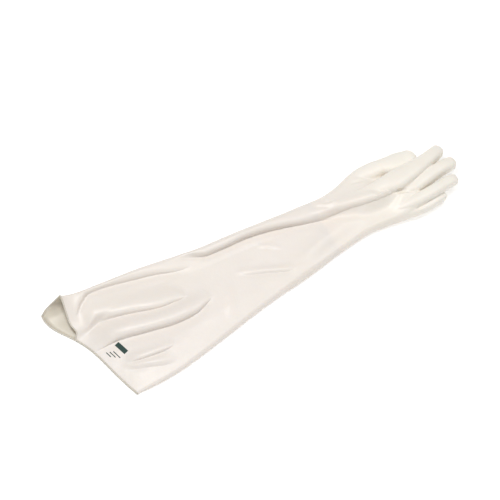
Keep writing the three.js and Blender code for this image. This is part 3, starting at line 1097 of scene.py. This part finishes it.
class GLOVE_OT_make_glove(bpy.types.Operator):
    """Make the glove's gauntlet, hand and fingers as one skin of rubber"""

    bl_idname = "glove.make_glove"
    bl_label = "Glove"

    def execute(self, context):
        sizes = context.scene.glove_sizes
        rings = gauntlet_rings(sizes.row_step)
        count, size = rings.shape[:2]
        faces = band_faces(count, size) + section_cap((count - 1) * size, size)
        glove = mesh_object("rubber_glove", rings.reshape(-1, 3), faces, section_cap(0, size))
        colours = context.scene.glove_colours
        # The second material is for the inner skin, with a darker colour that paints the shade
        # inside the gauntlet
        for name, gauntlet, hand in (
            ("dipped_rubber", colours.rubber, colours.rubber_hand),
            ("rubber_inside_painted_shade", colours.rubber_inside_painted_shade, colours.rubber_inside_painted_shade),
        ):
            material = rubber_material(name, gauntlet, hand, colours.rubber_deep)
            glove.data.materials.append(material)
        join_fingers(glove, sizes)
        open_mouth(glove.data)
        fill_webs(glove.data, sizes.web_radius)
        press_creases(glove.data)
        ripple(glove.data, sizes.ripple)
        outside = len(glove.data.polygons)
        add_to_mesh(glove.data, *inner_skin(sizes))
        close_rim(glove.data)
        inside = len(glove.data.polygons) - outside
        glove.data.polygons.foreach_set("material_index", [0] * outside + [1] * inside)
        glove.data.polygons.foreach_set("use_smooth", [True] * (outside + inside))
        glove.data.update()
        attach(glove, "root")
        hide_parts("glove")
        return {"FINISHED"}


class GLOVE_OT_make_rim_bead(bpy.types.Operator):
    """Make the rolled bead along the rim of the mouth"""

    bl_idname = "glove.make_rim_bead"
    bl_label = "Rim bead"

    def execute(self, context):
        sizes = context.scene.glove_sizes
        rings = gauntlet_rings(sizes.row_step)[:3]
        normals = ring_normals(rings)[0]
        rim = rings[0]
        centres = rim - normals * sizes.wall / 2
        centres[:, 2] = np.maximum(centres[:, 2], TABLE_TOP + sizes.bead_radius)
        ahead = np.roll(rim, -1, axis=0) - np.roll(rim, 1, axis=0)
        ahead /= np.linalg.norm(ahead, axis=1, keepdims=True)
        side = np.cross(normals, ahead)
        side /= np.linalg.norm(side, axis=1, keepdims=True)
        angles = np.arange(BEAD_SIDES) / BEAD_SIDES * 2 * math.pi
        spokes = np.cos(angles)[:, None] * normals[:, None]
        spokes += np.sin(angles)[:, None] * side[:, None]
        circles = centres[:, None] + sizes.bead_radius * spokes
        count, size = circles.shape[:2]
        bead = mesh_object("rim_bead", circles.reshape(-1, 3), band_faces(count, size, loop=True))
        colours = context.scene.glove_colours
        # The bead's darker colour paints the shade along the rim's outline
        rolled = colours.bead_painted_shade
        material = rubber_material("rolled_rubber_painted_shade", rolled, rolled, colours.rubber_deep)
        bead.data.materials.append(material)
        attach(bead, "root")
        return {"FINISHED"}


class GLOVE_OT_make_ink_strips(bpy.types.Operator):
    """Make the plain printed strips on the cuff, on the glove's surface"""

    bl_idname = "glove.make_ink_strips"
    bl_label = "Ink strips"

    def execute(self, context):
        glove = bpy.data.objects.get("rubber_glove")
        if glove is None:
            raise RuntimeError("make the glove before its printed strips")
        surface = BVHTree.FromObject(glove, context.evaluated_depsgraph_get())
        points, faces = [], []
        for values in STRIPS.values():
            strip = dict(zip(STRIP_COLUMNS, values))
            more, its_faces = strip_points(strip, surface)
            faces += [[k + len(points) for k in face] for face in its_faces]
            points += more
        ink = mesh_object("ink_strips", points, faces)
        film = ink.modifiers.new("film", "SOLIDIFY")
        film.thickness = INK_FILM
        film.offset = -1
        apply_modifiers(ink)
        ink.data.materials.append(ink_material(context.scene.glove_colours))
        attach(ink, "root")
        return {"FINISHED"}


class GLOVE_OT_make_stage(bpy.types.Operator):
    """Make the pale floor, the soft lights and the camera"""

    bl_idname = "glove.make_stage"
    bl_label = "Stage"

    def execute(self, context):
        scene = context.scene
        stage = scene.glove_stage
        signs = ((-1, -1), (1, -1), (1, 1), (-1, 1))
        points = [(a * FLOOR_REACH, b * FLOOR_REACH, TABLE_TOP - FLOOR_GAP) for a, b in signs]
        floor = mesh_object("floor", points, [(0, 1, 2, 3)])
        floor.data.materials.append(floor_material(scene.glove_colours, stage.floor_glow))
        world = bpy.data.worlds.new("soft_sky")
        world.use_nodes = True
        background = world.node_tree.nodes["Background"]
        background.inputs["Color"].default_value = (1, 1, 1, 1)
        background.inputs["Strength"].default_value = stage.sky
        scene.world = world
        powers = (stage.top_power, stage.side_power, stage.front_power)
        for (name, (location, size)), power in zip(LIGHTS.items(), powers):
            self.add_light(name, location, size, power)
        azimuth, elevation = stage.azimuth, stage.elevation
        back = Vector((
            math.sin(azimuth) * math.cos(elevation),
            -math.cos(azimuth) * math.cos(elevation),
            math.sin(elevation),
        ))
        lens = bpy.data.cameras.new("camera")
        lens.lens = stage.lens
        lens.sensor_width = SENSOR_WIDTH
        lens.clip_end = FARTHEST_SEEN
        camera = bpy.data.objects.new("camera", lens)
        scene.collection.objects.link(camera)
        camera.location = Vector(LOOKS_AT) + back * stage.distance
        camera.rotation_euler = back.to_track_quat("Z", "Y").to_euler()
        scene.camera = camera
        scene.view_settings.view_transform = "Standard"
        return {"FINISHED"}

    def add_light(self, name, location, size, power):
        """Adds a round soft light that points at the glove's middle."""
        light = bpy.data.lights.new(name, "AREA")
        light.shape = "DISK"
        light.size = size
        light.energy = power
        lamp = bpy.data.objects.new(name, light)
        lamp.location = location
        away = Vector(location) - Vector(CENTRE)
        lamp.rotation_euler = away.to_track_quat("Z", "Y").to_euler()
        bpy.context.scene.collection.objects.link(lamp)


class GLOVE_PT_panel(bpy.types.Panel):
    """Lists the glove's pieces and their sizes"""

    bl_idname = "GLOVE_PT_panel"
    bl_label = "Glovebox glove"
    bl_space_type = "VIEW_3D"
    bl_region_type = "UI"
    bl_category = "Glove"

    def draw(self, context):
        scene = context.scene
        for operator in OPERATORS:
            self.layout.operator(operator.bl_idname)
        for group in (scene.glove_sizes, scene.glove_colours, scene.glove_stage):
            box = self.layout.box()
            for name in group.bl_rna.properties.keys():
                if name not in ("rna_type", "name"):
                    box.prop(group, name)


GROUPS = {
    "glove_sizes": GloveSizes,
    "glove_colours": GloveColours,
    "glove_stage": StageSizes,
}
OPERATORS = (
    GLOVE_OT_make_glove,
    GLOVE_OT_make_rim_bead,
    GLOVE_OT_make_ink_strips,
    GLOVE_OT_make_stage,
)


def register():
    for cls in (*GROUPS.values(), *OPERATORS, GLOVE_PT_panel):
        bpy.utils.register_class(cls)
    for name, group in GROUPS.items():
        setattr(bpy.types.Scene, name, PointerProperty(type=group))


def unregister():
    for name in GROUPS:
        delattr(bpy.types.Scene, name)
    for cls in (GLOVE_PT_panel, *reversed(OPERATORS), *GROUPS.values()):
        bpy.utils.unregister_class(cls)


def main():
    register()
    bpy.ops.glove.make_glove()
    bpy.ops.glove.make_rim_bead()
    bpy.ops.glove.make_ink_strips()
    bpy.ops.glove.make_stage()


if __name__ == "__main__":
    main()
